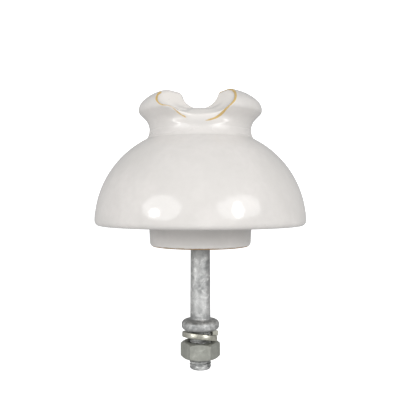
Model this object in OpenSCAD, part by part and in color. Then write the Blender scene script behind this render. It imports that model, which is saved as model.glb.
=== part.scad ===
// Pin insulator for overhead lines: glazed porcelain on a forged steel pin.
// Millimetres. +Z up. The origin is the centre of the collar's underside, the
// seat that stands on the crossarm. The conductor's saddle runs along Y.

/* [Head] */
// Height of the head's top above the crossarm seat
head_top_z = 164; // [163:0.1:165]
// Diameter over the lip of the head
lip_d = 85.3; // [84:0.1:87]
// Drop from the head's top to the lip's widest circle
lip_drop = 12.8; // [12.5:0.1:13.2]
// Radius of the crown's outline
crown_arc_r = 24; // [22:0.5:26]
// Radius of the lip's upper edge
lip_top_r = 7.9; // [7:0.1:9]
// Radius of the lip's lower edge
lip_low_r = 3.5; // [3:0.1:4]
// Diameter at the bottom of the tie-wire groove
neck_d = 70.5; // [70:0.1:71]
// Radius of the tie-wire groove
neck_arc_r = 11; // [10.5:0.1:11.5]
// Drop from the head's top to the middle of the tie-wire groove
neck_drop = 26.2; // [25.8:0.1:26.6]

/* [Saddle] */
// Radius of the groove that the conductor lies in
saddle_r = 13.2; // [12.9:0.1:13.5]
// Height of the groove's axis above the head's top
saddle_rise = 2.1; // [1.8:0.1:2.4]
// Length of the groove's straight middle
saddle_l = 6; // [5:0.5:7]
// Radius that turns the groove into each flared mouth
mouth_arc_r = 6.6; // [6:0.1:7.2]
// Angle between the mouth's cone and the groove's axis
mouth_turn = 29; // [27:0.5:31]
// Radius of the mouth at the head's side
mouth_r = 27.5; // [27.2:0.1:27.8]
// Drop from the groove's bottom to the top of the bridge over the neck
bridge_drop = 0.2; // [0.1:0.1:0.5]
// Radius of the bridge's shoulder
shoulder_r = 9; // [8:0.5:10]
// Step from the neck's surface in to the bridge's shoulder
shoulder_step = 1; // [0.8:0.1:1.4]

/* [Shed] */
// Diameter of the shed's rim
shed_d = 145; // [142:0.1:148]
// Radius of the dome's outline
dome_arc_r = 64.5; // [63:0.1:66]
// Height of the dome's widest circle above the seat
dome_z = 74.1; // [73:0.1:75]
// Radius of the rim's corner
rim_r = 3.6; // [3:0.1:4]
// Height of the rim's underside above the seat
rim_z = 72.4; // [72:0.1:73]
// Thickness of the shed at its rim
shed_t = 10; // [9:0.1:11]
// Depth of the recess under the shed, above the rim's underside
recess_depth = 29; // [26:0.5:30]
// Radius at the top of the recess
recess_top_r = 6; // [5:0.1:6.5]

/* [Petticoat] */
// Height of the porcelain from its foot to the head's top
porcelain_h = 106.2; // [105.5:0.1:107]
// Diameter of the petticoat at its foot
foot_d = 69.8; // [69:0.1:71]
// Diameter of the petticoat at the top of the recess
petticoat_top_d = 73.4; // [72:0.1:75]
// Radius of the foot's outer corner
foot_r = 3; // [2:0.1:4]

/* [Bore] */
// Diameter of the bore for the pin
bore_d = 44; // [42:0.5:45]
// Height of the bore's closed end above the seat
bore_top_z = 110.5; // [108:0.5:112]
// Radius of the corner at the bore's closed end
bore_corner_r = 6; // [4:0.5:7]
// Chamfer at the bore's mouth
bore_chamfer = 1.5; // [1:0.1:2]
// Thickness of the fired sand band
sand_t = 1.2; // [1:0.1:1.5]
// Length of the fired sand band
sand_l = 36; // [30:1:38]
// Thickness of the bituminous coat on the bore
bore_coat_t = 0.5; // [0.4:0.1:0.8]
// Thickness of the seal over the cement
seal_t = 2; // [1.5:0.1:3]
// Depth of the seal's face inside the foot
seal_recess = 2; // [1:0.1:3]

/* [Pin] */
// Diameter of the shank where it enters the porcelain
shank_top_d = 13.4; // [13:0.1:14]
// Diameter of the shank at the collar
shank_low_d = 14.2; // [14:0.1:15]
// Radius of the fillet between shank and collar
shank_fillet_r = 1.6; // [1:0.1:2]
// Diameter of the collar
collar_d = 26.2; // [25:0.1:27]
// Thickness of the collar
collar_h = 6.9; // [6.5:0.1:7.5]
// Radius of the collar's edges
collar_edge_r = 2.9; // [2:0.1:3]
// Diameter over the ribs that the cement grips
rib_d = 19; // [18:0.1:20]
// Depth of the grooves between the ribs
rib_depth = 1.8; // [1:0.1:2]
// Distance from rib to rib
rib_pitch = 6; // [5.5:0.1:6]
// Thickness of the bituminous coat on the ribs
grip_coat_t = 0.4; // [0.3:0.1:0.6]
// Thickness of the cork pad on the pin's tip
pad_h = 4; // [3:0.5:5]

/* [Stud] */
// Outer diameter of the galvanised M16 thread
stud_d = 15.4; // [15.2:0.1:15.6]
// Length of the stud below the seat
stud_l = 27.3; // [26:0.1:30]
// Chamfer at the stud's end
stud_chamfer = 1.8; // [1.5:0.1:2]

/* [Spring washer] */
// Outer diameter of the washer
washer_d = 25.2; // [24.8:0.1:25.4]
// Inner diameter of the washer
washer_bore_d = 16.8; // [16.8:0.1:17]
// Height of the washer's section
washer_t = 3.8; // [3.6:0.1:3.9]
// Rise of the washer from one end to the other
washer_rise = 3.7; // [3.4:0.1:3.8]
// Angle that the loose washer leans up towards the front
washer_lean = 11; // [9:0.5:11]

/* [Nut] */
// Width of the nut across its flats
nut_flats = 24; // [23.6:0.1:24.4]
// Height of the nut
nut_h = 11.5; // [11:0.1:12]
// Distance from the seat to the nut's upper face
nut_drop = 7.9; // [7.8:0.1:8.5]
// Radial gap between the nut's bore and the stud
nut_gap = 0.08; // [0.04:0.01:0.09]

/* [Hidden] */
$fn = 96;

// Amount by which a cutting shape runs past the surface it cuts
past = 1;
// Angle of the nut and the washer about the pin, measured from the saddle
pin_turn = 5;

// Head
lip_r = lip_d / 2;
lip_z = head_top_z - lip_drop;
lip_top_centre = [lip_r - lip_top_r, lip_z];
lip_low_centre = [lip_r - lip_low_r, lip_z];
// The crown's arc meets the lip's upper arc at this angle above level
crown_turn = asin((crown_arc_r - lip_drop) / (crown_arc_r - lip_top_r));
crown_dir = [cos(crown_turn), sin(crown_turn)];
crown_centre = lip_top_centre - (crown_arc_r - lip_top_r) * crown_dir;
neck_r = neck_d / 2;
neck_z = head_top_z - neck_drop;
neck_centre_r = neck_r + neck_arc_r;

// Saddle
saddle_z = head_top_z + saddle_rise;
half_saddle = saddle_l / 2;
// Where the mouth's arc meets its cone, and where the cone ends
cone_in = [saddle_r + mouth_arc_r * (1 - cos(mouth_turn)),
           half_saddle + mouth_arc_r * sin(mouth_turn)];
cone_out = [mouth_r, cone_in[1] + (mouth_r - cone_in[0]) / tan(mouth_turn)];
// The bridge's top arc starts level at the saddle's straight middle and meets
// the shoulder's arc at this angle above level
bridge_top_z = saddle_z - saddle_r - bridge_drop;
shoulder_centre = [neck_r - shoulder_step - shoulder_r, neck_z];
bridge_run = shoulder_centre[0] - half_saddle;
bridge_rise = bridge_top_z - neck_z;
bridge_r = (bridge_run ^ 2 + bridge_rise ^ 2 - shoulder_r ^ 2)
         / (2 * (bridge_rise - shoulder_r));
bridge_centre = [half_saddle, bridge_top_z - bridge_r];
shoulder_dir = (shoulder_centre - bridge_centre) / (bridge_r - shoulder_r);

// Shed
shed_r = shed_d / 2;
dome_centre_r = shed_r - dome_arc_r;
rim_centre_z = rim_z + rim_r;
rim_reach = sqrt((dome_arc_r - rim_r) ^ 2 - (rim_centre_z - dome_z) ^ 2);
rim_centre_r = dome_centre_r + rim_reach;
recess_top_z = rim_z + recess_depth;
recess_arc_z = recess_top_z - recess_top_r;
// The recess's outer wall is an arc that starts inside the rim
recess_wall_r = 52.5;
recess_wall_z = dome_z - 4;
recess_wall_x = shed_r - shed_t - recess_wall_r;
recess_inner_x = petticoat_top_d / 2 + recess_top_r;
recess_outer_x = recess_wall_x
  + sqrt((recess_wall_r - recess_top_r) ^ 2 - (recess_arc_z - recess_wall_z) ^ 2);

// Petticoat and bore
foot_z = head_top_z - porcelain_h;
foot_outer_r = foot_d / 2;
bore_r = bore_d / 2;
seal_z = foot_z + seal_recess;
cement_z = seal_z + seal_t;
sand_z = cement_z + 5;

// Pin
collar_r = collar_d / 2;
tip_z = bore_top_z - bore_coat_t - pad_h;
rib_r = rib_d / 2;
rib_root_r = rib_r - rib_depth;
rib_count = 5;
rib_crest_l = rib_pitch / 3;
rib_flank_l = rib_pitch / 6;
tip_chamfer = 2;
grip_z = tip_z - tip_chamfer - rib_count * rib_pitch;
grip_cone_l = 2;
grip_coat_z = grip_z - 2 * grip_cone_l;
stud_r = stud_d / 2;
pad_r = rib_r;

// Washer: the first end is up against the collar, right of the front
washer_mid_r = (washer_d + washer_bore_d) / 4;
washer_w = (washer_d - washer_bore_d) / 2;
washer_corner = 0.6;
washer_steps = 68;
washer_sweep = 342;
washer_start = 2;
washer_mid_z = -1.9;
washer_side_lean = 3.4;

// Nut
nut_r = nut_flats / 2 / cos(30);
nut_bore_r = stud_r + nut_gap;
nut_top_z = -nut_drop;
nut_low_z = nut_top_z - nut_h;
nut_face_r = nut_flats / 2 * 0.95;
nut_reach = nut_r + past;
nut_cone = (nut_reach - nut_face_r) * tan(30);
nut_mouth = 0.9;

GLAZE = [0.87, 0.86, 0.83];
SAND = [0.78, 0.72, 0.60];
BITUMEN = [0.08, 0.08, 0.08];
CEMENT = [0.62, 0.61, 0.58];
CORK = [0.66, 0.50, 0.33];
ZINC = [0.60, 0.61, 0.60];
DULL_ZINC = [0.50, 0.51, 0.48];

// Outline of the head, to the right of the axis, down to inside the dome
module head_outline() {
  low_end = lip_low_centre + lip_low_r * [cos(45), -sin(45)];
  groove_end = [neck_centre_r, neck_z] + neck_arc_r * [-cos(45), sin(45)];
  crown_top = [crown_centre.x, head_top_z];
  difference() {
    union() {
      translate(lip_top_centre) circle(lip_top_r);
      translate(lip_low_centre) circle(lip_low_r);
      intersection() {
        translate(crown_centre) circle(crown_arc_r, $fn = 256);
        polygon([
          crown_centre, crown_centre + crown_arc_r * crown_dir,
          [lip_r, head_top_z + past], [crown_centre.x, head_top_z + past]
        ]);
      }
      polygon([
        [0, dome_z], [groove_end.x, dome_z], groove_end, low_end,
        lip_low_centre, lip_top_centre, crown_centre, crown_top, [0, head_top_z]
      ]);
    }
    translate([neck_centre_r, neck_z]) circle(neck_arc_r);
  }
}

// Outline of the dome, from the rim's corner up to inside the head
module dome_outline() {
  intersection() {
    translate([dome_centre_r, dome_z]) circle(dome_arc_r, $fn = 256);
    translate([0, rim_centre_z]) square([shed_r, dome_arc_r]);
  }
  // Above its centre the dome's arc would fall towards the axis
  translate([0, rim_centre_z]) square([dome_centre_r, dome_arc_r]);
  translate([0, rim_z]) square([rim_centre_r, rim_r + past]);
  translate([rim_centre_r, rim_centre_z]) circle(rim_r);
}

// Outline of the annular recess between the shed and the petticoat
module recess_outline() {
  wall_dir = [recess_outer_x - recess_wall_x, recess_arc_z - recess_wall_z];
  translate([recess_inner_x, recess_arc_z]) circle(recess_top_r);
  translate([recess_outer_x, recess_arc_z]) circle(recess_top_r);
  translate([recess_inner_x, recess_arc_z - recess_top_r])
    square([recess_outer_x - recess_inner_x, 2 * recess_top_r]);
  intersection() {
    translate([recess_wall_x, recess_wall_z]) circle(recess_wall_r, $fn = 256);
    polygon([
      [foot_outer_r, foot_z - past], [petticoat_top_d / 2, recess_arc_z],
      [recess_outer_x, recess_arc_z], [recess_outer_x, recess_arc_z] + 2 * wall_dir,
      [2 * shed_r, foot_z - past]
    ]);
  }
}

// Outline of the petticoat, whose foot has a rounded outer corner
module petticoat_outline() {
  corner = [foot_outer_r - foot_r, foot_z + foot_r];
  translate(corner) circle(foot_r);
  polygon([
    [0, foot_z], [corner.x, foot_z], corner, [foot_outer_r, corner.y],
    [petticoat_top_d / 2, recess_arc_z], [petticoat_top_d / 2, recess_top_z + past],
    [0, recess_top_z + past]
  ]);
}

// Outline of the space in the bore, drawn in by inset from the bore's wall
module bore_outline(inset) {
  r = bore_r - inset;
  top_z = bore_top_z - inset;
  corner = bore_corner_r - inset;
  translate([0, foot_z - past]) square([r, top_z - corner - foot_z + past]);
  translate([0, foot_z]) square([r - corner, top_z - foot_z]);
  translate([r - corner, top_z - corner]) circle(corner);
}

// Outline of the sand band, grown by extra into the bore
module sand_outline(extra) {
  translate([bore_r - sand_t - extra, sand_z - extra])
    square([sand_t + extra + past, sand_l + 2 * extra]);
}

// Everything above height z, to the right of the axis
module above(z) {
  translate([0, z]) square([2 * shed_r, head_top_z]);
}

// Radius and height of each corner of the ribs, grown by extra
function rib_points(extra) = [
  for (i = [0:rib_count - 1])
    let (z = grip_z + i * rib_pitch)
    each [
      [rib_root_r + extra, z],
      [rib_root_r + extra, z + rib_crest_l],
      [rib_r + extra, z + rib_crest_l + rib_flank_l],
      [rib_r + extra, z + rib_pitch - rib_flank_l]
    ]
];

// Outline of the pin inside the cement, grown by extra
module grip_outline(extra) {
  polygon(concat(
    [[0, grip_coat_z], [shank_top_d / 2 + extra, grip_coat_z]],
    [[shank_top_d / 2 + extra, grip_z - grip_cone_l]],
    rib_points(extra),
    [[rib_r + extra, tip_z - tip_chamfer], [rib_r - tip_chamfer + extra, tip_z]],
    [[0, tip_z]]
  ));
}

// Round groove that flares to a wide mouth at both ends
module flared_groove() {
  reach = shed_r;
  translate([0, 0, saddle_z]) rotate([-90, 0, 0]) rotate_extrude($fn = 256) {
    translate([0, -reach]) square([saddle_r, 2 * reach]);
    for (side = [-1, 1]) scale([1, side]) difference() {
      polygon([
        [0, half_saddle], [saddle_r + mouth_arc_r, half_saddle],
        cone_in, cone_out, [mouth_r, reach], [0, reach]
      ]);
      translate([saddle_r + mouth_arc_r, half_saddle]) circle(mouth_arc_r, $fn = 256);
    }
  }
}

// Rounded top of the neck, left standing inside the groove's mouths
module bridge() {
  foot = neck_z - past;
  rotate_extrude($fn = 256) {
    translate([0, foot]) square([half_saddle, bridge_rise + past]);
    intersection() {
      translate(bridge_centre) circle(bridge_r, $fn = 256);
      polygon([
        [0, foot], shoulder_centre - past * shoulder_dir,
        shoulder_centre + (shoulder_r + past) * shoulder_dir,
        [shoulder_centre[0], head_top_z], [0, head_top_z]
      ]);
    }
    translate([0, foot]) square([shoulder_centre[0] + shoulder_r, past]);
    intersection() {
      translate(shoulder_centre) circle(shoulder_r, $fn = 256);
      translate([0, neck_z]) square([neck_r, bridge_rise]);
    }
  }
}

// Shape that cuts the saddle
module saddle_cutter() {
  difference() {
    flared_groove();
    bridge();
  }
}

module porcelain_body() {
  color(GLAZE) difference() {
    rotate_extrude($fn = 256) difference() {
      union() {
        head_outline();
        difference() {
          dome_outline();
          recess_outline();
        }
        petticoat_outline();
      }
      bore_outline(0);
      polygon([
        [0, foot_z - past], [bore_r + bore_chamfer + past, foot_z - past],
        [bore_r, foot_z + bore_chamfer], [0, foot_z + bore_chamfer]
      ]);
    }
    saddle_cutter();
  }
}

module sand_band() {
  color(SAND) rotate_extrude() intersection() {
    sand_outline(0);
    bore_outline(0);
  }
}

module bore_bitumen_coat() {
  color(BITUMEN) rotate_extrude() intersection() {
    difference() {
      bore_outline(0);
      sand_outline(0);
      difference() {
        bore_outline(bore_coat_t);
        sand_outline(bore_coat_t);
      }
    }
    above(cement_z);
  }
}

module cement_fill() {
  color(CEMENT) rotate_extrude() intersection() {
    difference() {
      bore_outline(bore_coat_t);
      sand_outline(bore_coat_t);
      grip_outline(grip_coat_t);
      shank_outline();
      translate([0, tip_z]) square([pad_r, bore_top_z]);
    }
    above(cement_z);
  }
}

module pin_bitumen_coat() {
  color(BITUMEN) rotate_extrude() difference() {
    grip_outline(grip_coat_t);
    grip_outline(0);
  }
}

module cushion_pad() {
  color(CORK) translate([0, 0, tip_z]) cylinder(h = pad_h, r = pad_r);
}

module mouth_seal() {
  color(BITUMEN) rotate_extrude() difference() {
    translate([0, seal_z]) square([bore_r, seal_t]);
    shank_outline();
  }
}

// Outline of the tapered shank, from the collar to the first rib
module shank_outline() {
  polygon([
    [0, collar_h], [shank_low_d / 2, collar_h],
    [shank_top_d / 2, grip_coat_z], [0, grip_coat_z]
  ]);
}

// Outline of the collar, with rounded edges and a fillet up to the shank
module collar_outline() {
  inner_r = collar_r - collar_edge_r;
  fillet_r = shank_low_d / 2 + shank_fillet_r;
  square([inner_r, collar_h]);
  translate([0, collar_edge_r]) square([collar_r, collar_h - 2 * collar_edge_r]);
  for (z = [collar_edge_r, collar_h - collar_edge_r]) {
    translate([inner_r, z]) circle(collar_edge_r);
  }
  difference() {
    translate([0, collar_h]) square([fillet_r, shank_fillet_r]);
    translate([fillet_r, collar_h + shank_fillet_r]) circle(shank_fillet_r);
  }
}

module steel_pin() {
  color(ZINC) rotate_extrude() {
    polygon([
      [0, -stud_l], [stud_r - stud_chamfer, -stud_l],
      [stud_r, stud_chamfer - stud_l], [stud_r, 0], [0, 0]
    ]);
    collar_outline();
    shank_outline();
    grip_outline(0);
  }
}

// Section of the washer's wire at one angle of its turn: radius and height
function washer_section() = [
  for (side = [[1, 1], [-1, 1], [-1, -1], [1, -1]])
    let (
      x = side.x * washer_w / 2,
      z = side.y * washer_t / 2,
      in_x = x - side.x * washer_corner,
      in_z = z - side.y * washer_corner
    )
    each (side.x * side.y > 0 ? [[x, in_z], [in_x, z]] : [[in_x, z], [x, in_z]])
];

module spring_washer() {
  section = washer_section();
  n = len(section);
  points = [
    for (i = [0:washer_steps])
      let (
        part = i / washer_steps,
        angle = washer_start + part * washer_sweep,
        drop = part * washer_rise
      )
      for (p = section)
        [(washer_mid_r + p.x) * cos(angle), (washer_mid_r + p.x) * sin(angle), p.y - drop]
  ];
  sides = [
    for (i = [0:washer_steps - 1])
      for (k = [0:n - 1])
        let (a = i * n + k, b = i * n + (k + 1) % n)
        each [[a, b, b + n], [a, b + n, a + n]]
  ];
  first_end = [for (k = [0:n - 1]) n - 1 - k];
  last_end = [for (k = [0:n - 1]) washer_steps * n + k];
  color(ZINC) translate([0, 0, washer_mid_z]) rotate(pin_turn)
    rotate([-washer_lean, washer_side_lean, 0])
      polyhedron(points, concat([first_end], sides, [last_end]));
}

module hex_nut() {
  color(DULL_ZINC) difference() {
    intersection() {
      translate([0, 0, nut_low_z]) rotate(pin_turn) cylinder(h = nut_h, r = nut_r, $fn = 6);
      rotate_extrude() polygon([
        [0, nut_low_z], [nut_face_r, nut_low_z], [nut_reach, nut_low_z + nut_cone],
        [nut_reach, nut_top_z - nut_cone], [nut_face_r, nut_top_z], [0, nut_top_z]
      ]);
    }
    translate([0, 0, nut_low_z - past]) cylinder(h = nut_h + 2 * past, r = nut_bore_r);
    rotate_extrude() for (up = [-1, 1]) {
      face_z = up > 0 ? nut_top_z : nut_low_z;
      polygon([
        [0, face_z + up * past], [nut_bore_r + nut_mouth + past, face_z + up * past],
        [nut_bore_r, face_z - up * nut_mouth], [0, face_z - up * nut_mouth]
      ]);
    }
  }
}

porcelain_body();
sand_band();
bore_bitumen_coat();
cement_fill();
pin_bitumen_coat();
cushion_pad();
mouth_seal();
steel_pin();
spring_washer();
hex_nut();
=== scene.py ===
import math

import bpy
import numpy as np
from mathutils import Matrix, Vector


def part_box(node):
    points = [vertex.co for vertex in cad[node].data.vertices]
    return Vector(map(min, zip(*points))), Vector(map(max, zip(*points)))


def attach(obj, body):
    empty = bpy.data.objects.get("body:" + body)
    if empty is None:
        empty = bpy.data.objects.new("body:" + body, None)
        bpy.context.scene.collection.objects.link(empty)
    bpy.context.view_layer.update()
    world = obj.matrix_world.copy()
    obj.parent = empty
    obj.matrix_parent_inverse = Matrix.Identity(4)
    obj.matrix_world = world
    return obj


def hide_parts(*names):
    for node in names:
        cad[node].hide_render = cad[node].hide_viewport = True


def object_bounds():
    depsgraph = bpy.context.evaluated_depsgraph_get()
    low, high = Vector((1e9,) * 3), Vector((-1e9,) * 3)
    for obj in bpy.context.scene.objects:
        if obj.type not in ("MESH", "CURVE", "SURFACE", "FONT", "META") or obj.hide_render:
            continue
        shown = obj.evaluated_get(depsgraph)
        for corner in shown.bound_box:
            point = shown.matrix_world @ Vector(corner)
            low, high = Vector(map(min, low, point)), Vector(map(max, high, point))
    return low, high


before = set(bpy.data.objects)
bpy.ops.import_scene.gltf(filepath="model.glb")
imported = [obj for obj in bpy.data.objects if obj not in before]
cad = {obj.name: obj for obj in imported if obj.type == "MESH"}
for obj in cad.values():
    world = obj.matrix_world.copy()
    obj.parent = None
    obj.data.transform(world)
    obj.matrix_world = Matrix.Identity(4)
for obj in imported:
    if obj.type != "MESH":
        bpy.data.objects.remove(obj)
cad_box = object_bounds()
scene = bpy.context.scene
MM = 0.001


def node_box(name):
    """Lowest and highest corner of a CAD node, in millimetres."""
    lo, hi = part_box(name)
    return np.array(lo) * 1000, np.array(hi) * 1000


BODY_LO, BODY_HI = node_box("porcelain_body")
PIN_LO, PIN_HI = node_box("steel_pin")
NUT_LO, NUT_HI = node_box("hex_nut")
SEAL_LO, SEAL_HI = node_box("mouth_seal")
TOP = BODY_HI[2]
FOOT = BODY_LO[2]
SHED_R = round(BODY_HI[0], 1)


# ---------------------------------------------------------------- outlines
# An outline is a chain of lines and arcs in (radius, height). The solid is on
# the right of the way it runs, so an arc that runs clockwise is convex.


def line(p, q):
    return ("line", np.array(p, float), np.array(q, float))


def arc(c, r, a0, a1):
    return ("arc", np.array(c, float), r, math.radians(a0), math.radians(a1))


def arc_point(part, a):
    """The point of an arc at an angle in radians."""
    return part[1] + part[2] * np.array([math.cos(a), math.sin(a)])


def bearing(a, b):
    """Angle of the way from a to b above level, in degrees."""
    return math.degrees(math.atan2(b[1] - a[1], b[0] - a[0]))


def polar(r, turn):
    """The point at a radius and an angle in degrees."""
    return r * np.array([math.cos(math.radians(turn)), math.sin(math.radians(turn))])


def out_from(c, r, z):
    """The point at height z on the outer half of a circle about c."""
    return np.array([c[0] + math.sqrt(r**2 - (z - c[1]) ** 2), z])


def outline_rings(chain, step, coarse=None):
    """Points and outward normals along an outline, as rows of radius, height, normal."""
    rows = []
    for part in chain:
        if part[0] == "line":
            p, q = part[1], part[2]
            length = np.linalg.norm(q - p)
            n = max(1, int(math.ceil(length / (coarse or step))))
            t = (q - p) / length
            for i in range(n + 1):
                rows.append([*(p + (q - p) * i / n), -t[1], t[0]])
        else:
            c, r, a0, a1 = part[1:]
            n = max(4, int(math.ceil(abs(a1 - a0) * r / step)))
            side = 1 if a1 < a0 else -1
            for i in range(n + 1):
                a = a0 + (a1 - a0) * i / n
                rows.append([*arc_point(part, a), side * math.cos(a), side * math.sin(a)])
    kept = [rows[0]]
    for row in rows[1:]:
        if np.hypot(row[0] - kept[-1][0], row[1] - kept[-1][1]) > 0.02:
            kept.append(row)
    return np.array(kept)


def outline_distance(chain, r, z):
    """Signed distance from an outline, negative in the solid."""
    best = np.full(r.shape, 1e9)
    signed = np.zeros(r.shape)
    for part in chain:
        if part[0] == "line":
            p, q = part[1], part[2]
            d = q - p
            t = np.clip(((r - p[0]) * d[0] + (z - p[1]) * d[1]) / (d @ d), 0, 1)
            away = np.hypot(r - p[0] - t * d[0], z - p[1] - t * d[1])
            side = (-(r - p[0]) * d[1] + (z - p[1]) * d[0]) / np.linalg.norm(d)
        else:
            c, radius, a0, a1 = part[1:]
            rho = np.hypot(r - c[0], z - c[1])
            turn = np.arctan2(z - c[1], r - c[0]) - (a0 + a1) / 2
            turn = np.abs((turn + np.pi) % (2 * np.pi) - np.pi)
            ends = [arc_point(part, a) for a in (a0, a1)]
            to_end = np.minimum(*[np.hypot(r - e[0], z - e[1]) for e in ends])
            away = np.where(turn <= abs(a1 - a0) / 2, np.abs(rho - radius), to_end)
            side = (rho - radius) * (1 if a1 < a0 else -1)
        near = away < best
        signed = np.where(near, np.where(side < 0, -away, away), signed)
        best = np.where(near, away, best)
    return signed


def smax(a, b, k):
    """The larger of a and b, blended where they are within k of each other."""
    h = np.maximum(k - np.abs(a - b), 0) / k
    return np.maximum(a, b) + h * h * k / 4


def smin(a, b, k):
    return -smax(-a, -b, k)


def smooth(x, a, b):
    """0 up to a and 1 from b on, with an even rise between."""
    t = np.clip((x - a) / (b - a), 0, 1)
    return t * t * (3 - 2 * t)


# ---------------------------------------------------------------- meshes


def mesh_object(name, points, faces, normals=None, attributes=None):
    mesh = bpy.data.meshes.new(name)
    mesh.from_pydata((np.asarray(points) * MM).tolist(), [], [list(map(int, f)) for f in faces])
    for key, values in (attributes or {}).items():
        layer = mesh.attributes.new(key, "FLOAT", "POINT")
        layer.data.foreach_set("value", np.asarray(values, np.float32))
    mesh.polygons.foreach_set("use_smooth", [True] * len(mesh.polygons))
    if normals is not None:
        mesh.normals_split_custom_set_from_vertices(np.asarray(normals).tolist())
    mesh.update()
    obj = bpy.data.objects.new(name, mesh)
    scene.collection.objects.link(obj)
    return obj


def gradient(f, p, e=0.02):
    """Slope of the distance f at the points p."""
    g = np.empty_like(p)
    for i in range(3):
        d = np.zeros(3)
        d[i] = e
        g[:, i] = (f(*(p + d).T) - f(*(p - d).T)) / (2 * e)
    return g


def surface_net(f, lo, hi, h, rounds=4):
    """Points, quads and the open rim of the surface f = 0 in a box, from a grid of step h."""
    lo = np.array(lo, float)
    counts = np.ceil((np.array(hi) - lo) / h).astype(int) + 1
    axes = [lo[i] + h * np.arange(counts[i]) for i in range(3)]
    F = f(*np.meshgrid(*axes, indexing="ij"))
    # Each cell that the surface crosses gets a point at the mean of its edges' crossings
    cells = tuple(counts - 1)
    total = np.zeros(cells + (3,))
    hits = np.zeros(cells)
    for a in range(3):
        b, c = [i for i in range(3) if i != a]
        for ob in (0, 1):
            for oc in (0, 1):
                s0 = [None] * 3
                s0[a], s0[b], s0[c] = slice(0, -1), slice(ob, cells[b] + ob), slice(oc, cells[c] + oc)
                s1 = list(s0)
                s1[a] = slice(1, None)
                f0, f1 = F[tuple(s0)], F[tuple(s1)]
                cross = (f0 < 0) != (f1 < 0)
                t = np.where(cross, f0 / np.where(cross, f0 - f1, 1), 0)
                hits += cross
                total[..., a] += np.where(cross, t, 0)
                total[..., b] += np.where(cross, ob, 0)
                total[..., c] += np.where(cross, oc, 0)
    used = hits > 0
    index = np.full(cells, -1)
    index[used] = np.arange(used.sum())
    corner = np.argwhere(used)
    points = lo + h * (corner + total[used] / hits[used][:, None])
    # Each grid edge that the surface crosses gets a quad of the four cells round it
    quads = []
    for a in range(3):
        b, c = (a + 1) % 3, (a + 2) % 3
        s0, s1 = [slice(None)] * 3, [slice(None)] * 3
        s0[a], s1[a] = slice(0, -1), slice(1, None)
        f0, f1 = F[tuple(s0)], F[tuple(s1)]
        for i in np.argwhere((f0 < 0) != (f1 < 0)):
            if i[b] < 1 or i[c] < 1 or i[b] >= cells[b] or i[c] >= cells[c]:
                continue
            ring = []
            for db, dc in ((-1, -1), (0, -1), (0, 0), (-1, 0)):
                j = i.copy()
                j[b] += db
                j[c] += dc
                ring.append(index[tuple(j)])
            if f0[tuple(i)] > 0:
                ring.reverse()
            quads.append(ring)
    quads = np.array(quads)
    # Points on the open rim stay. The others are evened out and moved onto the surface.
    edges = np.concatenate([quads[:, [k, (k + 1) % 4]] for k in range(4)])
    pairs, uses = np.unique(np.sort(edges, 1), axis=0, return_counts=True)
    rim = np.zeros(len(points), bool)
    rim[pairs[uses == 1]] = True
    for _ in range(rounds):
        near = np.zeros_like(points)
        count = np.zeros(len(points))
        for u, v in ((0, 1), (1, 0)):
            np.add.at(near, pairs[:, u], points[pairs[:, v]])
            np.add.at(count, pairs[:, u], 1)
        points = np.where(rim[:, None], points, 0.5 * points + 0.5 * near / count[:, None])
        for _ in range(3):
            g = gradient(f, points)
            move = f(*points.T) / np.maximum((g * g).sum(1), 0.05)
            points -= np.clip(move, -h, h)[:, None] * g
    return points, quads, rim


def turned(rings, n, shape=None, close_first=False, close_last=False):
    """Points and faces of an outline turned about Z, in n steps. The solid is inside."""
    angle = 2 * np.pi * np.arange(n) / n
    r = np.repeat(rings[:, 0:1], n, 1)
    z = np.repeat(rings[:, 1:2], n, 1)
    a = np.repeat(angle[None], len(rings), 0)
    if shape is not None:
        r, z = shape(r, z, a)
    points = np.stack([r * np.cos(a), r * np.sin(a), z], 2).reshape(-1, 3)
    i = np.arange(len(rings) - 1)[:, None] * n
    j = np.arange(n)[None]
    k = (j + 1) % n
    faces = np.stack([i + j, i + n + j, i + n + k, i + k], 2).reshape(-1, 4).tolist()
    if close_first:
        points = np.vstack([points, [[0, 0, z[0].mean()]]])
        faces += [[len(points) - 1, q, (q + 1) % n] for q in range(n)]
    if close_last:
        points = np.vstack([points, [[0, 0, z[-1].mean()]]])
        last = (len(rings) - 1) * n
        faces += [[len(points) - 1, last + (q + 1) % n, last + q] for q in range(n)]
    return points, faces


# ---------------------------------------------------------------- porcelain

# The head: a flat top, the crown's arc, the lip's two arcs and a sloping underside
CROWN_R, LIP_R, LIP_TOP_R, LIP_LOW_R = 24.0, 42.65, 7.9, 3.5
UNDERSIDE = 45
LIP_Z = TOP - 12.8
crown_turn = math.degrees(math.asin((CROWN_R - TOP + LIP_Z) / (CROWN_R - LIP_TOP_R)))
crown_c = np.array([LIP_R - LIP_TOP_R, LIP_Z]) - polar(CROWN_R - LIP_TOP_R, crown_turn)
lip_low = np.array([LIP_R - LIP_LOW_R, LIP_Z])

# The tie wire's groove round the neck
NECK_R, NECK_ARC = 35.25, 11.0
NECK_Z = TOP - 26.2
NECK_C = np.array([NECK_R + NECK_ARC, NECK_Z])

# The shed's dome and its rim
DOME_R, RIM_R = 64.5, 3.6
DOME_C = np.array([SHED_R - DOME_R, FOOT + 16.3])
RIM_Z = FOOT + 14.6
rim_c = out_from(DOME_C, DOME_R - RIM_R, RIM_Z + RIM_R)

# A small fillet where the neck runs out onto the dome
FILLET = 2.5
gap = DOME_C - NECK_C
reach = np.linalg.norm(gap)
u = gap / reach
along = ((NECK_ARC - FILLET) ** 2 - (DOME_R + FILLET) ** 2 + reach**2) / (2 * reach)
across = math.sqrt(max((NECK_ARC - FILLET) ** 2 - along**2, 0))
fillet_c = NECK_C + along * u + across * np.array([u[1], -u[0]])
to_neck = bearing(NECK_C, fillet_c)
to_dome = bearing(DOME_C, fillet_c)

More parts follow.
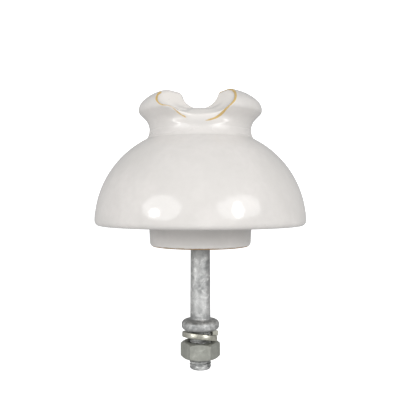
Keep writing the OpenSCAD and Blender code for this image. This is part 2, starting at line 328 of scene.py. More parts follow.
head_chain = [
    line((0, TOP), (crown_c[0], TOP)),
    arc(crown_c, CROWN_R, 90, crown_turn),
    arc((LIP_R - LIP_TOP_R, LIP_Z), LIP_TOP_R, crown_turn, 0),
    arc(lip_low, LIP_LOW_R, 0, -UNDERSIDE),
    line(lip_low + polar(LIP_LOW_R, -UNDERSIDE), NECK_C + polar(NECK_ARC, 180 - UNDERSIDE)),
    arc(NECK_C, NECK_ARC, 180 - UNDERSIDE, to_neck % 360),
]

# The recess under the shed
WALL_R, RIM_IN_R, ROOF_R = 52.5, 2.5, 6.0
wall_c = np.array([SHED_R - 10 - WALL_R, FOOT + 12.3])
roof_z = RIM_Z + 29
rim_in_c = out_from(wall_c, WALL_R + RIM_IN_R, RIM_Z + RIM_IN_R)
rim_in_turn = bearing(wall_c, rim_in_c)
roof_c = out_from(wall_c, WALL_R - ROOF_R, roof_z - ROOF_R)
roof_turn = bearing(wall_c, roof_c)

# The petticoat, slightly tapered, and the bore
FOOT_R, TAPER, PETTICOAT_TOP_R = 3.0, 3, 36.7
BORE_R, BORE_EDGE, BORE_TOP_R, BORE_DEPTH = 22.0, 1.5, 6.0, 52.7
foot_c = np.array([31.9, FOOT + FOOT_R])
bore_top_c = np.array([BORE_R - BORE_TOP_R, FOOT + BORE_DEPTH - BORE_TOP_R])

lower_chain = [
    arc(fillet_c, FILLET, to_neck % 360, 180 + to_dome),
    arc(DOME_C, DOME_R, to_dome, bearing(DOME_C, rim_c)),
    arc(rim_c, RIM_R, bearing(DOME_C, rim_c), -90),
    line((rim_c[0], RIM_Z), (rim_in_c[0], RIM_Z)),
    arc(rim_in_c, RIM_IN_R, -90, rim_in_turn - 180),
    arc(wall_c, WALL_R, rim_in_turn, roof_turn),
    arc(roof_c, ROOF_R, roof_turn, 90),
    line((roof_c[0], roof_z), (PETTICOAT_TOP_R + ROOF_R, roof_z)),
    arc((PETTICOAT_TOP_R + ROOF_R, roof_c[1]), ROOF_R, 90, 180),
    line((PETTICOAT_TOP_R, roof_c[1]), foot_c + polar(FOOT_R, -TAPER)),
    arc(foot_c, FOOT_R, -TAPER, -90),
    line((foot_c[0], FOOT), (BORE_R + BORE_EDGE, FOOT)),
    arc((BORE_R + BORE_EDGE, FOOT + BORE_EDGE), BORE_EDGE, -90, -180),
    line((BORE_R, FOOT + BORE_EDGE), (BORE_R, bore_top_c[1])),
    arc(bore_top_c, BORE_TOP_R, 0, 90),
    line((bore_top_c[0], FOOT + BORE_DEPTH), (3, FOOT + BORE_DEPTH)),
]

# The saddle: a round groove along Y that opens into a cone at each mouth
SADDLE_R, HALF_L, FLARE, FLARE_TURN, MOUTH_R = 13.2, 3.0, 6.6, 29.0, 27.5
SADDLE_Z = TOP + 2.1
flare_c = np.array([SADDLE_R + FLARE, HALF_L])
cone = flare_c + polar(FLARE, 180 - FLARE_TURN)
flare_chain = [
    line((SADDLE_R, -5), (SADDLE_R, HALF_L)),
    arc(flare_c, FLARE, 180, 180 - FLARE_TURN),
    line(cone, cone + polar(90, 90 - FLARE_TURN)),
]

# The bridge: a wide arc from the saddle's bottom, then a small one down into the neck
END_R, END_STEP = 9.0, 1.0
bridge_top = SADDLE_Z - SADDLE_R - 0.1
end_c = np.array([NECK_R - END_STEP - END_R, NECK_Z])
rise, run = bridge_top - NECK_Z, end_c[0] - HALF_L
BRIDGE_R = (run**2 + rise**2 - END_R**2) / (2 * (rise - END_R))
bridge_c = np.array([HALF_L, bridge_top - BRIDGE_R])
bridge_turn = bearing(bridge_c, end_c)
bridge_chain = [
    line((0, bridge_top), (HALF_L, bridge_top)),
    arc(bridge_c, BRIDGE_R, 90, bridge_turn),
    arc(end_c, END_R, bridge_turn, 0),
    line((end_c[0] + END_R, NECK_Z), (end_c[0] + END_R, NECK_Z - 20)),
]


def trimmed(turn):
    """How far the front mouth's hand-trimmed edge stands in from MOUTH_R.

    Turn is the angle from straight down about the saddle's axis, positive to the left.
    """
    waves = ((5.5, 29, 24, 4), (-1.2, 72, 12, 2), (2.0, -34, 18, 2), (-0.8, -64, 10, 2))
    return sum(size * np.exp(-(((turn - at) / width) ** power)) for size, at, width, power in waves)


def head_parts(x, y, z):
    """The turned head, and the solid that the saddle's cut leaves, as distances."""
    r = np.hypot(x, y)
    head = np.maximum(outline_distance(head_chain, r, z), r - LIP_R - 0.8)
    rho = np.hypot(x, z - SADDLE_Z)
    wall = outline_distance(flare_chain, rho, np.abs(y))
    less = trimmed(np.degrees(np.arctan2(-x, SADDLE_Z - z))) * smooth(-y, 16, 28)
    groove = smin(wall, MOUTH_R - less - rho, 5)
    bridge = outline_distance(bridge_chain, r, z)
    left = smin(groove, bridge, 0.6 + 7 * smooth(r, 10, 26))
    return head, left


def head_solid(x, y, z):
    """The head with its cut, rounded along the edges and most of all just above the neck."""
    head, left = head_parts(x, y, z)
    rounding = 1.8 + 9.0 * np.exp(-(((z - NECK_Z - 4.0) / 4.0) ** 2))
    return smax(head, left, rounding)


def join_rims(upper, upper_turn, lower):
    """Triangles between an uneven upper rim and an even lower one, both counted round from +X."""
    lower_turn = 2 * np.pi * np.arange(len(lower)) / len(lower)
    faces = []
    i = j = 0
    while i < len(upper) or j < len(lower):
        next_up = upper_turn[i + 1] if i + 1 < len(upper) else upper_turn[0] + 2 * np.pi
        next_low = lower_turn[j + 1] if j + 1 < len(lower) else 2 * np.pi
        a, b = upper[i % len(upper)], lower[j % len(lower)]
        if j >= len(lower) or (i < len(upper) and next_up < next_low):
            faces.append([a, b, upper[(i + 1) % len(upper)]])
            i += 1
        else:
            faces.append([a, b, lower[(j + 1) % len(lower)]])
            j += 1
    return faces


# Above the seam the head is a net; below it the body is round and is turned in AROUND steps
SEAM = NECK_Z - 4.5
AROUND = 288
NET_CELL, NET_HALF, NET_ABOVE = 0.7, 44.2, 1.4


def head_net():
    """The head's points and quads, and the rim at the seam, set on the neck's round groove."""
    lo, hi = (-NET_HALF, -NET_HALF, SEAM), (NET_HALF, NET_HALF, TOP + NET_ABOVE)
    points, quads, rim = surface_net(head_solid, lo, hi, NET_CELL)
    seam_r = NECK_C[0] - math.sqrt(NECK_ARC**2 - (NECK_Z - SEAM) ** 2)
    theta = np.arctan2(points[rim, 1], points[rim, 0])
    points[rim] = np.stack([seam_r * np.cos(theta), seam_r * np.sin(theta), np.full(len(theta), SEAM)], 1)
    return points, quads, rim


def lower_rings():
    """Rings from just below the seam down the outside, under the shed and up the bore."""
    start = 180 + math.degrees(math.asin((NECK_Z - SEAM + 0.8) / NECK_ARC))
    return outline_rings([arc(NECK_C, NECK_ARC, start, to_neck % 360)] + lower_chain, 1.6, 3.0)


def unit_normals(solid, points):
    """Outward normals of a solid at points on its surface."""
    normals = gradient(solid, points)
    return normals / np.maximum(np.linalg.norm(normals, axis=1), 1e-9)[:, None]


def ring_normals(rings):
    """Normals of the turned body's points, and of the one that closes the bore."""
    a = 2 * np.pi * np.arange(AROUND)[None] / AROUND
    outward, upward = rings[:, 2:3], np.repeat(rings[:, 3:4], AROUND, 1)
    normals = np.stack([outward * np.cos(a), outward * np.sin(a), upward], 2).reshape(-1, 3)
    return np.vstack([normals, [[0, 0, -1]]])


def glaze_marks(net_points, low_points):
    """Marks for the glaze: the cut's edges, its surfaces (lightened there as painted light), the duller
    neck and the bare clay.
    """
    head, left = head_parts(*net_points.T)
    none_below = np.zeros(len(low_points))
    x, y, z = np.vstack([net_points, low_points]).T
    radius = np.hypot(x, y)
    right = x > 0
    # The amber line is stronger on the right, and fades over the top and near the middle
    right_gain = 1.0 + 0.2 * smooth(z, TOP - 12, TOP - 6)
    crest = smooth(z, TOP - 4.5, TOP - 1.5)
    edge = np.concatenate([np.clip(1 - np.abs(head - left) / 2.0, 0, 1), none_below])
    edge *= smooth(z, NECK_Z - 1, NECK_Z + 6) * np.where(right, right_gain, 0.72)
    edge *= (1 - crest * np.where(right, 0.2, 0.8)) * smooth(np.abs(x), 3, 7)
    # The cut's surfaces, where the glaze gets painted light against the saddle's shade
    cut = np.concatenate([smooth(left - head, 0.3, 3.0), none_below])
    cut *= smooth(z, NECK_Z + 2, NECK_Z + 12)
    dull = smooth(z, NECK_Z - 12, NECK_Z - 3) * (1 - smooth(z, NECK_Z - 1.5, NECK_Z + 3.2))
    bare_foot = smooth(FOOT + 1.3 - z, 0, 0.9) * (radius > BORE_R - 1)
    bare_bore = (radius < BORE_R + 0.4) * (z < TOP - 40)
    return {"edge": edge, "cut": cut, "dull": dull, "bare": np.clip(bare_foot + bare_bore, 0, 1)}


def build_porcelain():
    """The whole porcelain body as one mesh."""
    points, quads, rim = head_net()
    rings = lower_rings()
    low_points, low_faces = turned(rings, AROUND, close_last=True)
    base = len(points)
    round_from_x = np.arctan2(points[:, 1], points[:, 0]) % (2 * np.pi)
    upper = np.flatnonzero(rim)[np.argsort(round_from_x[rim])]
    faces = quads.tolist() + [[v + base for v in face] for face in low_faces]
    faces += join_rims(upper, round_from_x[upper], base + np.arange(AROUND))
    normals = np.vstack([unit_normals(head_solid, points), ring_normals(rings)])
    marks = glaze_marks(points, low_points)
    return mesh_object("porcelain_glazed", np.vstack([points, low_points]), faces, normals, marks)


porcelain = build_porcelain()
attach(porcelain, "insulator")
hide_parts("porcelain_body")


# ---------------------------------------------------------------- pin

PITCH = 2.0


def thread_wave(a, z):
    """A right-hand thread at angle a and height z: 0 on the stud's crests, 1 in its roots."""
    phase = (z / PITCH - a / (2 * np.pi)) % 1.0
    return np.abs(phase - 0.5) * 2


def ripples(a, z, seed, size, amount):
    """Uneven zinc: a sum of seeded waves round and along a turned surface."""
    rng = np.random.RandomState(seed)
    out = np.zeros(np.broadcast(a, z).shape)
    for _ in range(9):
        waves = rng.randint(1, 9)
        out += np.sin(waves * a + rng.uniform(0, 6.3) + z * rng.uniform(-1, 1) * 6.3 / size)
    return amount * (out / 12 - 0.15)


# Sizes of the pin, from the stud's end up to the tip in the bore
STUD_END, TIP = PIN_LO[2], PIN_HI[2]
STUD_R, STUD_ROUND = 7.5, 1.9
COLLAR_R, COLLAR_EDGE = round(PIN_HI[0], 1), 2.9
SHANK_R, SHANK_TAPER, SHANK_FOOT, SHANK_FILLET = 7.1, 0.4, 8.6, 1.6
GRIP, GRIP_R, RIB_R, RIB_STEP = TIP - 32, 7.7, 9.5, 6

stud_round_c = np.array([5.55, STUD_END + 2.05])
stud_rings = [[0.01, STUD_END + 0.05], [2.5, STUD_END + 0.05], [4.6, STUD_END + 0.12]]
stud_rings += [stud_round_c + polar(STUD_ROUND, t) for t in np.linspace(-80, -8, 9)]
stud_rings += [[STUD_R, v] for v in np.arange(STUD_END + 2.0, -0.9, 0.2)]
stud_rings += [[7.0, -0.6], [7.3, -0.02]]

collar_low_c = np.array([COLLAR_R - COLLAR_EDGE, COLLAR_EDGE])
collar_high_c = np.array([COLLAR_R - COLLAR_EDGE, 4.0])
collar_rings = [[8.6, 0.0], [COLLAR_R - COLLAR_EDGE, 0.0]]
collar_rings += [collar_low_c + polar(COLLAR_EDGE, t) for t in np.linspace(-80, 0, 9)]
collar_rings += [collar_high_c + polar(COLLAR_EDGE, t) for t in np.linspace(6, 90, 10)]
collar_rings += [[9.4, 6.9], [8.9, 6.92]]
collar_rings += [np.array([8.7, 8.5]) + polar(SHANK_FILLET, -90 - t) for t in np.linspace(0, 90, 7)]

shank_rise = GRIP - 4 - SHANK_FOOT
shank_rings = [[SHANK_R - SHANK_TAPER * t, SHANK_FOOT + shank_rise * t] for t in np.linspace(0.02, 1, 46)]

grip_rings = []
for rib in range(5):
    z0 = GRIP + RIB_STEP * rib
    grip_rings += [[GRIP_R, z0], [GRIP_R, z0 + 2], [RIB_R, z0 + 3], [RIB_R, z0 + 5]]
grip_rings += [[RIB_R, TIP - 2], [7.5, TIP], [0.01, TIP]]


def pin_shape(r, z, a):
    """The turned pin with its thread cut and its zinc made uneven."""
    # The thread is shallower near the stud's end
    depth = 0.35 + 0.85 * smooth(z, STUD_END + 1.0, STUD_END + 5.5)
    screw = STUD_R - depth * smooth(thread_wave(a, z), 0.12, 0.85)
    r = np.where((z < -0.3) & (r > 4.7), np.minimum(r, screw), r)
    collar = (z > 0.3) & (z < 6.6) & (r > 9)
    rough = ripples(a, z, 3, 7.0, 0.35) + ripples(a * 3, z, 4, 2.5, 0.14)
    r = np.where(collar, r + rough, r)
    shank = (z > 7.2) & (z < GRIP - 3)
    r = np.where(shank, r + ripples(a, z, 5, 22.0, 0.16) + ripples(a * 2, z, 6, 5.0, 0.05), r)
    return r, z


# Rings run from the stud's end upwards, so they are turned over for the outward side
pin_rings = np.array(stud_rings + collar_rings + shank_rings + grip_rings)[::-1]
pin_points, pin_faces = turned(pin_rings, 112, pin_shape, close_first=True, close_last=True)
pin = mesh_object("steel_pin_galvanised", pin_points, pin_faces)
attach(pin, "insulator")
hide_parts("steel_pin")


# ---------------------------------------------------------------- seal

SEAL_IN, SEAL_OUT, SEAL_DIP = 7.0, 22.0, 0.75
seal_low, seal_high = SEAL_LO[2], SEAL_HI[2]
seal_rings = [[SEAL_IN, seal_high], [SEAL_OUT, seal_high - 0.02], [SEAL_OUT, seal_low + 0.05]]
# The poured face sinks between the bore's wall and the pin
for r in np.linspace(SEAL_OUT, SEAL_IN, 22):
    dip = SEAL_DIP * (1 - math.exp(-(SEAL_OUT - r) / 1.4)) * (1 - math.exp(-(r - SEAL_IN) / 1.2))
    seal_rings.append([r, seal_low + 0.02 + dip])
seal_rings = np.array(seal_rings + [[SEAL_IN, seal_high]])


def seal_shape(r, z, a):
    """The seal's lower face with shallow waves round it."""
    face = (z < seal_high - 0.6) & (r < SEAL_OUT - 0.5) & (r > SEAL_IN + 0.5)
    waves = 0.12 * (np.sin(3 * a + r) + np.sin(5 * a - 0.7 * r + 1)) - 0.05
    return r, np.where(face, z + np.maximum(waves, -0.2), z)


seal_points, seal_faces = turned(seal_rings, 96, seal_shape)
seal = mesh_object("bitumen_seal", seal_points, seal_faces)
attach(seal, "insulator")
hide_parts("mouth_seal")


# ---------------------------------------------------------------- washer

# The nut is turned as far as the washer. Only the washer leans.
TURN, LEAN, SIDE_LEAN = math.radians(5), math.radians(-11), math.radians(3.4)
COIL_R, COIL_HALF_W, COIL_HALF_T, COIL_CORNER = 10.5, 2.1, 1.9, 0.8
COIL_START, COIL_SWEEP, COIL_DROP, COIL_STEPS = 2, 342, 3.7, 120


def rotation(axis, angle):
    """Rotation matrix about X, Y or Z, given as 0, 1 or 2."""
    i, j = (axis + 1) % 3, (axis + 2) % 3
    m = np.eye(3)
    m[i, i] = m[j, j] = math.cos(angle)
    m[i, j], m[j, i] = -math.sin(angle), math.sin(angle)
    return m


def coil_section():
    """The washer's wire: a rectangle with rounded corners, as rows of width and height."""
    rows = []
    for cx, cz, a0 in ((1, 1, 0), (-1, 1, 90), (-1, -1, 180), (1, -1, 270)):
        middle = np.array([cx * (COIL_HALF_W - COIL_CORNER), cz * (COIL_HALF_T - COIL_CORNER)])
        rows += [middle + polar(COIL_CORNER, a0 + t) for t in np.linspace(0, 90, 5)]
    return np.array(rows)


def build_washer():
    """One open turn of the wire, falling as it goes round, with flat ends."""
    section = coil_section()
    points = []
    for i in range(COIL_STEPS + 1):
        part = i / COIL_STEPS
        a = math.radians(COIL_START + COIL_SWEEP * part)
        # The cut ends are slightly rounded
        shrink = {0: 0.86, 1: 0.97}.get(min(i, COIL_STEPS - i), 1.0)
        for px, pz in section * shrink:
            points.append([(COIL_R + px) * math.cos(a), (COIL_R + px) * math.sin(a), pz - COIL_DROP * part])
    tilt = rotation(2, TURN) @ rotation(1, SIDE_LEAN) @ rotation(0, LEAN)
    points = np.array(points) @ tilt.T - [0, 0, COIL_HALF_T]
    n = len(section)
    faces = [
        [i * n + k, i * n + (k + 1) % n, (i + 1) * n + (k + 1) % n, (i + 1) * n + k]
        for i in range(COIL_STEPS)
        for k in range(n)
    ]
    faces += [list(range(n - 1, -1, -1)), [COIL_STEPS * n + k for k in range(n)]]
    return mesh_object("spring_washer_coil", points, faces)


washer = build_washer()
washer.data.polygons[-1].use_smooth = False
washer.data.polygons[-2].use_smooth = False
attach(washer, "washer")
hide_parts("spring_washer")


# ---------------------------------------------------------------- nut

NUT_MID = (NUT_LO[2] + NUT_HI[2]) / 2
NUT_HALF = (NUT_HI[2] - NUT_LO[2]) / 2
FLAT_R, CHAMFER_R, NUT_BORE_R, NUT_MOUTH_R = 12.0, 11.4, 7.93, 8.7
NUT_CELL, NUT_MARGIN = 0.34, 0.9


def nut_solid(x, y, z):
    """The hexagon with 30 degree chamfers, a threaded hole and 45 degree mouths."""
    flats = TURN + np.radians(30 + 60 * np.arange(6))
    sides = [x * math.cos(t) + y * math.sin(t) - FLAT_R for t in flats]
    hexagon = sides[0]
    for side in sides[1:]:
        hexagon = smax(hexagon, side, 0.4)
    r = np.hypot(x, y)
    up = np.abs(z - NUT_MID) - NUT_HALF
    cone = (r - CHAMFER_R) * 0.5 + up * 0.866
    body = smax(smax(hexagon, cone, 0.5), up + 0.02, 0.5)
    hole = NUT_BORE_R - r + 0.8 * smooth(thread_wave(np.arctan2(y, x), z), 0.15, 0.9)
    mouth = (NUT_MOUTH_R - r + up) * 0.707
    return smax(smax(body, hole, 0.3), mouth, 0.4)


nut_lo, nut_hi = NUT_LO - NUT_MARGIN, NUT_HI + NUT_MARGIN
nut_points, nut_quads, _ = surface_net(nut_solid, nut_lo, nut_hi, NUT_CELL, rounds=3)
nut = mesh_object("hex_nut_m16", nut_points, nut_quads, unit_normals(nut_solid, nut_points))
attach(nut, "nut")
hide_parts("hex_nut")


# ---------------------------------------------------------------- materials


class Nodes:
    """Short names for building one material's nodes."""

    def __init__(self, name):
        self.mat = bpy.data.materials.new(name)
        self.mat.use_nodes = True
        self.tree = self.mat.node_tree
        self.shader = self.tree.nodes["Principled BSDF"]
        self.where = self.add("ShaderNodeTexCoord").outputs["Object"]

    def add(self, kind, **values):
        node = self.tree.nodes.new(kind)
        for key, value in values.items():
            setattr(node, key, value)
        return node

    def link(self, a, b):
        self.tree.links.new(a, b)

    def feed(self, socket, value):
        if hasattr(value, "is_linked"):
            self.link(value, socket)
        else:
            socket.default_value = value

    def noise(self, scale, detail=3.0, rough=0.5, distort=0.0):
        node = self.add("ShaderNodeTexNoise")
        self.link(self.where, node.inputs["Vector"])
        node.inputs["Scale"].default_value = scale
        node.inputs["Detail"].default_value = detail
        node.inputs["Roughness"].default_value = rough
        node.inputs["Distortion"].default_value = distort
        return node.outputs["Fac"]

    def cells(self, scale, output="Distance"):
        node = self.add("ShaderNodeTexVoronoi")
        self.link(self.where, node.inputs["Vector"])
        node.inputs["Scale"].default_value = scale
        return node.outputs[output]

    def math(self, op, a, b, clamp=False):
        node = self.add("ShaderNodeMath", operation=op, use_clamp=clamp)
        for socket, value in zip(node.inputs, (a, b)):
            self.feed(socket, value)
        return node.outputs[0]

    def stir(self, value, noise, amount):
        """The value with noise about zero added to it."""
        centred = self.math("SUBTRACT", noise, 0.5)
        return self.math("ADD", value, self.math("MULTIPLY", centred, amount))

    def span(self, value, a, b, to_a=0.0, to_b=1.0):
        """The value's way from a to b, mapped smoothly to the way from to_a to to_b."""
        node = self.add("ShaderNodeMapRange", interpolation_type="SMOOTHSTEP")
        for socket, v in zip(node.inputs, (value, a, b, to_a, to_b)):
            self.feed(socket, v)
        return node.outputs[0]

    def blend(self, fac, a, b):
        node = self.add("ShaderNodeMix", data_type="RGBA")
        self.feed(node.inputs[0], fac)
        self.feed(node.inputs[6], a)
        self.feed(node.inputs[7], b)
        return node.outputs[2]

    def attribute(self, name):
        node = self.add("ShaderNodeAttribute", attribute_name=name)
        return node.outputs["Fac"]

    def bump(self, height, strength, distance, normal=None):
        node = self.add("ShaderNodeBump")
        self.link(height, node.inputs["Height"])
        node.inputs["Strength"].default_value = strength
        node.inputs["Distance"].default_value = distance
        if normal is not None:
            self.link(normal, node.inputs["Normal"])
        return node.outputs["Normal"]

    def set(self, **values):
        for key, value in values.items():
            self.feed(self.shader.inputs[key.replace("_", " ")], value)


def rgb(r, g, b):
    return (r, g, b, 1.0)


def glaze():
    """White glaze with specks and amber edges, and bare clay at the foot and in the bore."""
    m = Nodes("glazed_porcelain")
    cloud = m.noise(28, 3, 0.55, 0.3)
    fine = m.noise(260, 2)
    colour = m.blend(m.span(cloud, 0.35, 0.68), rgb(0.645, 0.622, 0.598), rgb(0.70, 0.672, 0.648))
    colour = m.blend(m.span(fine, 0.3, 0.75, 0, 0.25), colour, rgb(0.60, 0.575, 0.55))
    # Painted light: the saddle's cut surfaces are made a little lighter and warmer, to lift the shade
    # inside the saddle
    colour = m.blend(m.math("MULTIPLY", m.attribute("cut"), 0.85), colour, rgb(0.84, 0.805, 0.765))
    # Iron specks under the glaze
    speck = m.span(m.cells(170), 0.055, 0.03)
    pick = m.span(m.noise(62, 1), 0.67, 0.71, 0, 0.8)
    colour = m.blend(m.math("MULTIPLY", speck, pick), colour, rgb(0.13, 0.09, 0.06))
    # The glaze draws thin over the saddle's edges and shows amber
    edge = m.attribute("edge")
    wander = m.noise(95, 3, 0.6)
    amber = m.span(m.stir(edge, wander, 0.9), 0.36, 0.60)
    colour = m.blend(m.math("MULTIPLY", amber, 0.95), colour, rgb(0.53, 0.335, 0.065))
    halo = m.span(m.math("ADD", edge, m.math("MULTIPLY", wander, 0.2)), 0.35, 0.95, 0, 0.35)
    colour = m.blend(halo, colour, rgb(0.62, 0.47, 0.24))
    # Unglazed foot and bore
    ragged = m.span(m.stir(m.attribute("bare"), m.noise(300, 3), 0.8), 0.4, 0.6)
    clay = m.blend(m.noise(420, 4), rgb(0.42, 0.28, 0.14), rgb(0.26, 0.15, 0.07))
    colour = m.blend(ragged, colour, clay)
    gloss = m.span(m.noise(40, 3), 0.3, 0.7, 0.09, 0.15)
    gloss = m.math("ADD", gloss, m.math("MULTIPLY", m.attribute("dull"), 0.16))
    rough = m.math("ADD", m.math("MULTIPLY", ragged, 0.65), gloss, clamp=True)
    wave = m.bump(m.noise(30, 2), 0.5, 0.0012)
    peel = m.bump(m.noise(420, 2), 0.12, 0.0001, wave)
    m.set(Base_Color=colour, Roughness=rough, Normal=peel, IOR=1.5)
    return m.mat


def zinc(name, dark, mid, light, rough, relief, metallic):
    """Hot-dip zinc in three shades. Rough holds the roughness of its smooth and its dull patches."""
    m = Nodes(name)
    patch = m.noise(95, 6, 0.68, 0.5)
    grain = m.noise(520, 4, 0.75)
    crystal = m.cells(330, "Color")
    colour = m.blend(m.span(patch, 0.34, 0.66), dark, mid)
    colour = m.blend(m.span(m.noise(150, 4, 0.6, 1.0), 0.48, 0.70), colour, light)
    colour = m.blend(m.span(grain, 0.35, 0.72, 0, 0.5), colour, dark)
    # Darker towards the top of the shank, where it goes up into the porcelain
    height = m.add("ShaderNodeSeparateXYZ")
    m.link(m.where, height.inputs[0])
    up = height.outputs[2]
    colour = m.blend(m.span(m.stir(up, patch, 0.022), 0.047, 0.060, 0, 0.55), colour, dark)
    colour = m.blend(m.span(crystal, 0.3, 0.8, 0, 0.22), colour, light)
    # The collar's zinc is duller and rougher than the shank's
    collar = m.math("MULTIPLY", m.span(up, 0.012, 0.008), m.span(up, -0.001, 0.001))
    crust = m.span(m.noise(260, 3, 0.6), 0.42, 0.6, 0.15, 0.62)
    colour = m.blend(m.math("MULTIPLY", collar, crust), colour, dark)
    # Painted light: the lower shank, just above the collar, is made lighter
    lower = m.math("MULTIPLY", m.span(up, 0.036, 0.016, 0, 0.3), m.span(up, 0.010, 0.014))
    colour = m.blend(lower, colour, light)
    matt = m.span(m.math("ADD", patch, m.math("MULTIPLY", grain, 0.4)), 0.5, 0.95, *rough)
    matt = m.math("ADD", matt, m.math("MULTIPLY", collar, 0.10))
    lumps = m.bump(m.noise(130, 5, 0.65, 0.4), relief, 0.0012)
    pits = m.bump(grain, relief * 0.5, 0.0003, lumps)
    m.set(Base_Color=colour, Metallic=metallic, Roughness=matt, Normal=pits)
    return m.mat


def spring_steel():
    """Plated spring steel, a little yellow."""
    m = Nodes("spring_steel_plated")
    patch = m.noise(160, 4, 0.6, 0.5)
    colour = m.blend(m.span(patch, 0.3, 0.7), rgb(0.36, 0.355, 0.30), rgb(0.62, 0.61, 0.54))
    colour = m.blend(m.span(m.noise(600, 3), 0.5, 0.8, 0, 0.4), colour, rgb(0.24, 0.22, 0.17))
    rough = m.span(patch, 0.3, 0.7, 0.38, 0.26)
    normal = m.bump(m.noise(380, 4, 0.6), 0.3, 0.0003)
    m.set(Base_Color=colour, Metallic=0.9, Roughness=rough, Normal=normal)
    return m.mat


def coarse(name, a, b, rough, scale):
    """A dull, grainy material between two colours."""
    m = Nodes(name)
    grain = m.noise(scale, 5, 0.65)
    colour = m.blend(m.span(grain, 0.3, 0.7), a, b)
    m.set(
        Base_Color=colour,
        Roughness=m.span(m.noise(scale * 2, 3), 0.3, 0.7, rough - 0.1, rough + 0.1),
        Normal=m.bump(grain, 0.5, 0.0006),
    )
    return m.mat


def give(obj, mat):
    obj.data.materials.clear()
    obj.data.materials.append(mat)


PIN_ZINC = rgb(0.26, 0.265, 0.262), rgb(0.56, 0.565, 0.558), rgb(0.80, 0.80, 0.785)
NUT_ZINC = rgb(0.30, 0.305, 0.272), rgb(0.39, 0.395, 0.356), rgb(0.48, 0.485, 0.44)
give(porcelain, glaze())
give(pin, zinc("galvanised_pin", *PIN_ZINC, rough=(0.36, 0.58), relief=0.4, metallic=0.82))
give(nut, zinc("galvanised_nut", *NUT_ZINC, rough=(0.46, 0.62), relief=0.2, metallic=0.7))
give(washer, spring_steel())
bitumen = coarse("bitumen", rgb(0.012, 0.011, 0.010), rgb(0.035, 0.031, 0.027), 0.35, 160)
give(seal, bitumen)
give(cad["bore_bitumen_coat"], bitumen)
give(cad["pin_bitumen_coat"], bitumen)
give(cad["sand_band"], coarse("fired_sand", rgb(0.62, 0.55, 0.44), rgb(0.42, 0.35, 0.26), 0.85, 900))
give(cad["cement_fill"], coarse("cement", rgb(0.45, 0.44, 0.41), rgb(0.33, 0.32, 0.30), 0.85, 300))
give(cad["cushion_pad"], coarse("cork", rgb(0.45, 0.30, 0.17), rgb(0.24, 0.14, 0.07), 0.8, 350))


# ---------------------------------------------------------------- stage


def stage_white(name, level):
    mat = bpy.data.materials.new(name)
    mat.use_nodes = True
    shader = mat.node_tree.nodes["Principled BSDF"]
    shader.inputs["Base Color"].default_value = rgb(0.9, 0.9, 0.9)
    shader.inputs["Roughness"].default_value = 0.9
    shader.inputs["Emission Color"].default_value = rgb(1, 1, 1)
    shader.inputs["Emission Strength"].default_value = level
    return mat


def stage_mesh(name, verts, quads, mat):
    """A part of the stage that only the camera sees."""
    mesh = bpy.data.meshes.new(name)
    mesh.from_pydata(verts, [], quads)
    mesh.materials.append(mat)
    obj = bpy.data.objects.new(name, mesh)
    scene.collection.objects.link(obj)
    obj.visible_diffuse = False
    obj.visible_glossy = False
    obj.visible_shadow = False


# Low enough to clear the nut when it is unscrewed to the stud's end
floor_z = float(cad_box[0][2]) - 0.0125
STAGE_R = 6.0
corners = [(sx * STAGE_R, sy * STAGE_R, floor_z) for sx, sy in ((-1, -1), (1, -1), (1, 1), (-1, 1))]
stage_mesh("floor", corners, [(0, 1, 2, 3)], stage_white("pale_stage", 0.75))
dome_rings = np.array([[STAGE_R * math.sin(t), STAGE_R * math.cos(t)] for t in np.linspace(0.02, 2.0, 24)])
dome_points, dome_faces = turned(dome_rings, 48, close_first=True)
stage_mesh("backdrop", dome_points.tolist(), dome_faces, stage_white("pale_backdrop", 1.0))

world = bpy.data.worlds.new("studio")
scene.world = world
world.use_nodes = True
sky_nodes = world.node_tree.nodes
background = sky_nodes["Background"]
background.inputs[0].default_value = rgb(0.965, 0.97, 0.975)
direction = sky_nodes.new("ShaderNodeTexCoord").outputs["Generated"]
lean = sky_nodes.new("ShaderNodeVectorMath")
lean.operation = "DOT_PRODUCT"
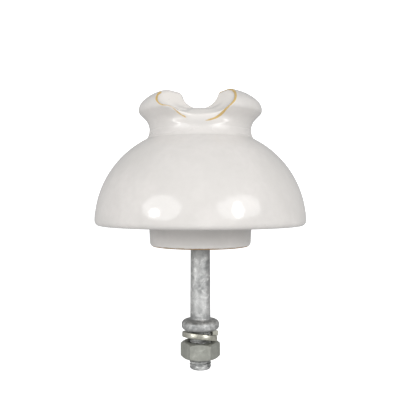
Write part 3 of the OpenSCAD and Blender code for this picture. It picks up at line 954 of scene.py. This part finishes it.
# Brighter in front of the object and below it, dimmer behind and above
lean.inputs[1].default_value = (-0.01, -0.13, -0.05)
world.node_tree.links.new(direction, lean.inputs[0])
level = sky_nodes.new("ShaderNodeMath")
level.operation = "ADD"
level.inputs[1].default_value = 0.585
world.node_tree.links.new(lean.outputs["Value"], level.inputs[0])
world.node_tree.links.new(level.outputs[0], background.inputs[1])


# ---------------------------------------------------------------- lights and camera

CAM = np.array([0.0359, -0.3984, 0.0898])
AIM = np.array([0, 0, 0.08])
view_turn = -math.atan2(CAM[0], -CAM[1])


def softbox(name, azimuth, elevation, distance, width, height, power, shape="ELLIPSE"):
    """A soft light; azimuth is measured from the camera's side, positive to the right."""
    light = bpy.data.lights.new(name, "AREA")
    light.shape = shape
    light.size, light.size_y = width, height
    light.energy = power
    a, e = math.radians(azimuth) - view_turn, math.radians(elevation)
    z_axis = np.array([math.sin(a) * math.cos(e), -math.cos(a) * math.cos(e), math.sin(e)])
    x_axis = np.cross([0, 0, 1], z_axis)
    x_axis /= np.linalg.norm(x_axis)
    y_axis = np.cross(z_axis, x_axis)
    obj = bpy.data.objects.new(name, light)
    scene.collection.objects.link(obj)
    obj.location = AIM + distance * z_axis
    obj.rotation_euler = Matrix(np.stack([x_axis, y_axis, z_axis], 1).tolist()).to_euler()


softbox("softbox_left", -46, 11, 1.3, 0.24, 0.22, 1.4)
softbox("softbox_left_glow", -40, 17, 1.35, 0.98, 0.62, 5.0)
softbox("softbox_right", 38, 15, 1.3, 0.26, 0.42, 2.6)
softbox("softbox_right_glow", 42, 18, 1.35, 1.15, 0.64, 5.5)
softbox("softbox_low", 0, -38, 1.3, 1.3, 0.6, 1.0, "RECTANGLE")

# The camera's place and lens were solved from the object's outline in the photo
camera = bpy.data.cameras.new("camera")
camera.sensor_width = 36.0
camera.lens = 51.8
camera.shift_x = -0.0008
camera.clip_start = 0.01
cam = bpy.data.objects.new("camera", camera)
scene.collection.objects.link(cam)
cam.location = CAM
cam.rotation_euler = (math.pi / 2, 0, -view_turn)
scene.camera = cam
scene.view_settings.view_transform = "Standard"
